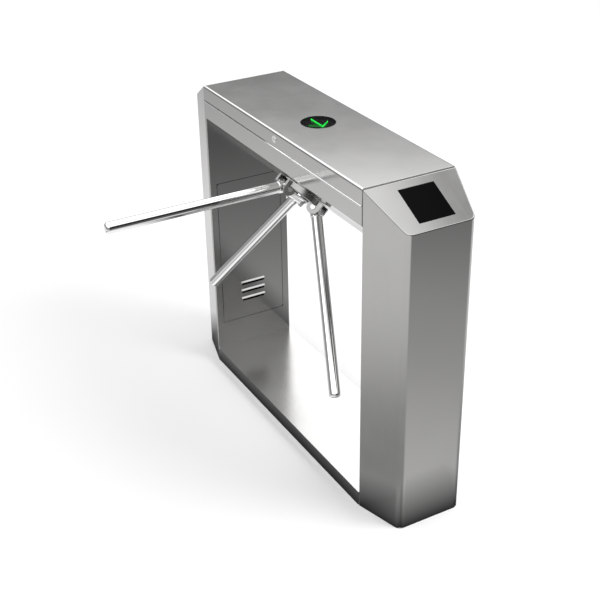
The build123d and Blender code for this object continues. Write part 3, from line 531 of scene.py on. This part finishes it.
def studio_world():
    """Even white light, but glossy rays see a banded surround with a dark part toward +X and +Y."""
    world = bpy.data.worlds.new("studio")
    bpy.context.scene.world = world
    world.use_nodes = True
    tree = world.node_tree
    tree.nodes.clear()
    output = tree.nodes.new("ShaderNodeOutputWorld")
    direction = tree.nodes.new("ShaderNodeTexCoord").outputs["Generated"]
    parts = tree.nodes.new("ShaderNodeSeparateXYZ")
    tree.links.new(direction, parts.inputs["Vector"])
    height = spread(tree, parts.outputs["Z"], 0.0, 1.0, -1.0, 1.0)
    around = brightness_by_height(tree, height, ROOM_BANDS)
    screened = brightness_by_height(tree, height, SCREEN_BANDS)
    toward_x = math_node(tree, "MULTIPLY", parts.outputs["X"], SCREEN_DIRECTION[0])
    toward_y = math_node(tree, "MULTIPLY", parts.outputs["Y"], SCREEN_DIRECTION[1])
    facing = spread(tree, math_node(tree, "ADD", toward_x, toward_y), 0.0, 1.0, *SCREEN_EDGE)
    mirrored = tree.nodes.new("ShaderNodeBackground")
    tree.links.new(mixed(tree, "RGBA", facing, around, screened), mirrored.inputs["Color"])
    mirrored.inputs["Strength"].default_value = SKY_STRENGTH
    even = tree.nodes.new("ShaderNodeBackground")
    even.inputs["Color"].default_value = (1.0, 1.0, 1.0, 1.0)
    even.inputs["Strength"].default_value = FILL_STRENGTH
    mix = tree.nodes.new("ShaderNodeMixShader")
    glossy = tree.nodes.new("ShaderNodeLightPath").outputs["Is Glossy Ray"]
    tree.links.new(glossy, mix.inputs["Fac"])
    tree.links.new(even.outputs["Background"], mix.inputs[1])
    tree.links.new(mirrored.outputs["Background"], mix.inputs[2])
    tree.links.new(mix.outputs["Shader"], output.inputs["Surface"])


CONTACT_HEIGHT = 0.0008
CONTACT_TAPER = 0.7       # the plan's width at a column's outer end, as a part of its full width
CONTACT_SHADOW_RINGS = (         # distance out from the plan, and how dark the painted shadow is there
    (0.0, 0.95),
    (0.072, 0.6),
    (0.204, 0.0),
)


def painted_contact_shadow():
    """Painted contact shadow: a soft dark rim on the floor around the feet, seen only in reflections; only
    glossy rays see it.
    """
    material = bpy.data.materials.new("painted_contact_shadow")
    material.use_nodes = True
    tree = material.node_tree
    tree.nodes.clear()
    output = tree.nodes.new("ShaderNodeOutputMaterial")
    fade = tree.nodes.new("ShaderNodeAttribute")
    fade.attribute_name = "fade"
    clear = tree.nodes.new("ShaderNodeBsdfTransparent")
    dark = tree.nodes.new("ShaderNodeEmission")
    dark.inputs["Color"].default_value = (0.0, 0.0, 0.0, 1.0)
    mix = tree.nodes.new("ShaderNodeMixShader")
    tree.links.new(fade.outputs["Fac"], mix.inputs["Fac"])
    tree.links.new(clear.outputs["BSDF"], mix.inputs[1])
    tree.links.new(dark.outputs["Emission"], mix.inputs[2])
    tree.links.new(mix.outputs["Shader"], output.inputs["Surface"])
    shape = bmesh.new()
    layer = shape.verts.layers.float.new("fade")
    shell_low, shell_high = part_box("near_column_shell")
    end_x, half_y, inner_x = shell_high[0], shell_high[1], shell_low[0]
    end_y = half_y * CONTACT_TAPER
    right_side = [(inner_x, -half_y), (end_x, -end_y), (end_x, end_y), (inner_x, half_y)]
    plan = right_side + [(-x, -y) for x, y in right_side]
    rings = []
    for distance, level in CONTACT_SHADOW_RINGS:
        ring = []
        for x, y in plan:
            away = Vector((x, y * 3, 0)).normalized() * distance
            vertex = shape.verts.new((x + away.x, y + away.y, CONTACT_HEIGHT))
            vertex[layer] = level
            ring.append(vertex)
        rings.append(ring)
    for inner, outer in zip(rings, rings[1:]):
        for i in range(len(plan)):
            j = (i + 1) % len(plan)
            shape.faces.new((inner[i], inner[j], outer[j], outer[i]))
    mesh = bpy.data.meshes.new("painted_contact_shadow")
    shape.to_mesh(mesh)
    shape.free()
    mesh.materials.append(material)
    shadow_sheet = bpy.data.objects.new("painted_contact_shadow", mesh)
    bpy.context.scene.collection.objects.link(shadow_sheet)
    shadow_sheet.visible_camera = False
    shadow_sheet.visible_diffuse = False
    shadow_sheet.visible_shadow = False
    shadow_sheet.visible_transmission = False


def soft_light(name, place, target, size, power):
    """A large soft lamp aimed at a point; glossy rays don't see it."""
    lamp = bpy.data.lights.new(name, "AREA")
    lamp.shape = "DISK"
    lamp.size = size
    lamp.energy = power
    holder = bpy.data.objects.new(name, lamp)
    bpy.context.scene.collection.objects.link(holder)
    holder.location = place
    holder.rotation_euler = (Vector(target) - Vector(place)).to_track_quat("-Z", "Y").to_euler()
    holder.visible_glossy = False


CAMERA_PLACE = (2.6290, -1.5212, 2.1173)
CAMERA_TURN = (60.692, 0.885, 60.573)    # degrees about X, Y and Z
FOCAL_LENGTH = 69.03
SENSOR_WIDTH = 36.0


def camera():
    """Camera about 2.1 m above the floor, looking down from the near column's side."""
    lens = bpy.data.cameras.new("camera")
    lens.lens = FOCAL_LENGTH
    lens.sensor_width = SENSOR_WIDTH
    holder = bpy.data.objects.new("camera", lens)
    bpy.context.scene.collection.objects.link(holder)
    turn = Euler([math.radians(angle) for angle in CAMERA_TURN])
    holder.matrix_world = Matrix.Translation(CAMERA_PLACE) @ turn.to_matrix().to_4x4()
    bpy.context.scene.camera = holder


KEY_PLACE = (2.2, 1.8, 3.6)
KEY_TARGET = (0, 0, 0.4)
KEY_SIZE = 2.2
KEY_POWER = 75.0

stage_floor()
# painted contact shadow around the feet, seen only in reflections
painted_contact_shadow()
studio_world()
soft_light("key", KEY_PLACE, KEY_TARGET, KEY_SIZE, KEY_POWER)
camera()
bpy.context.scene.view_settings.view_transform = "Standard"
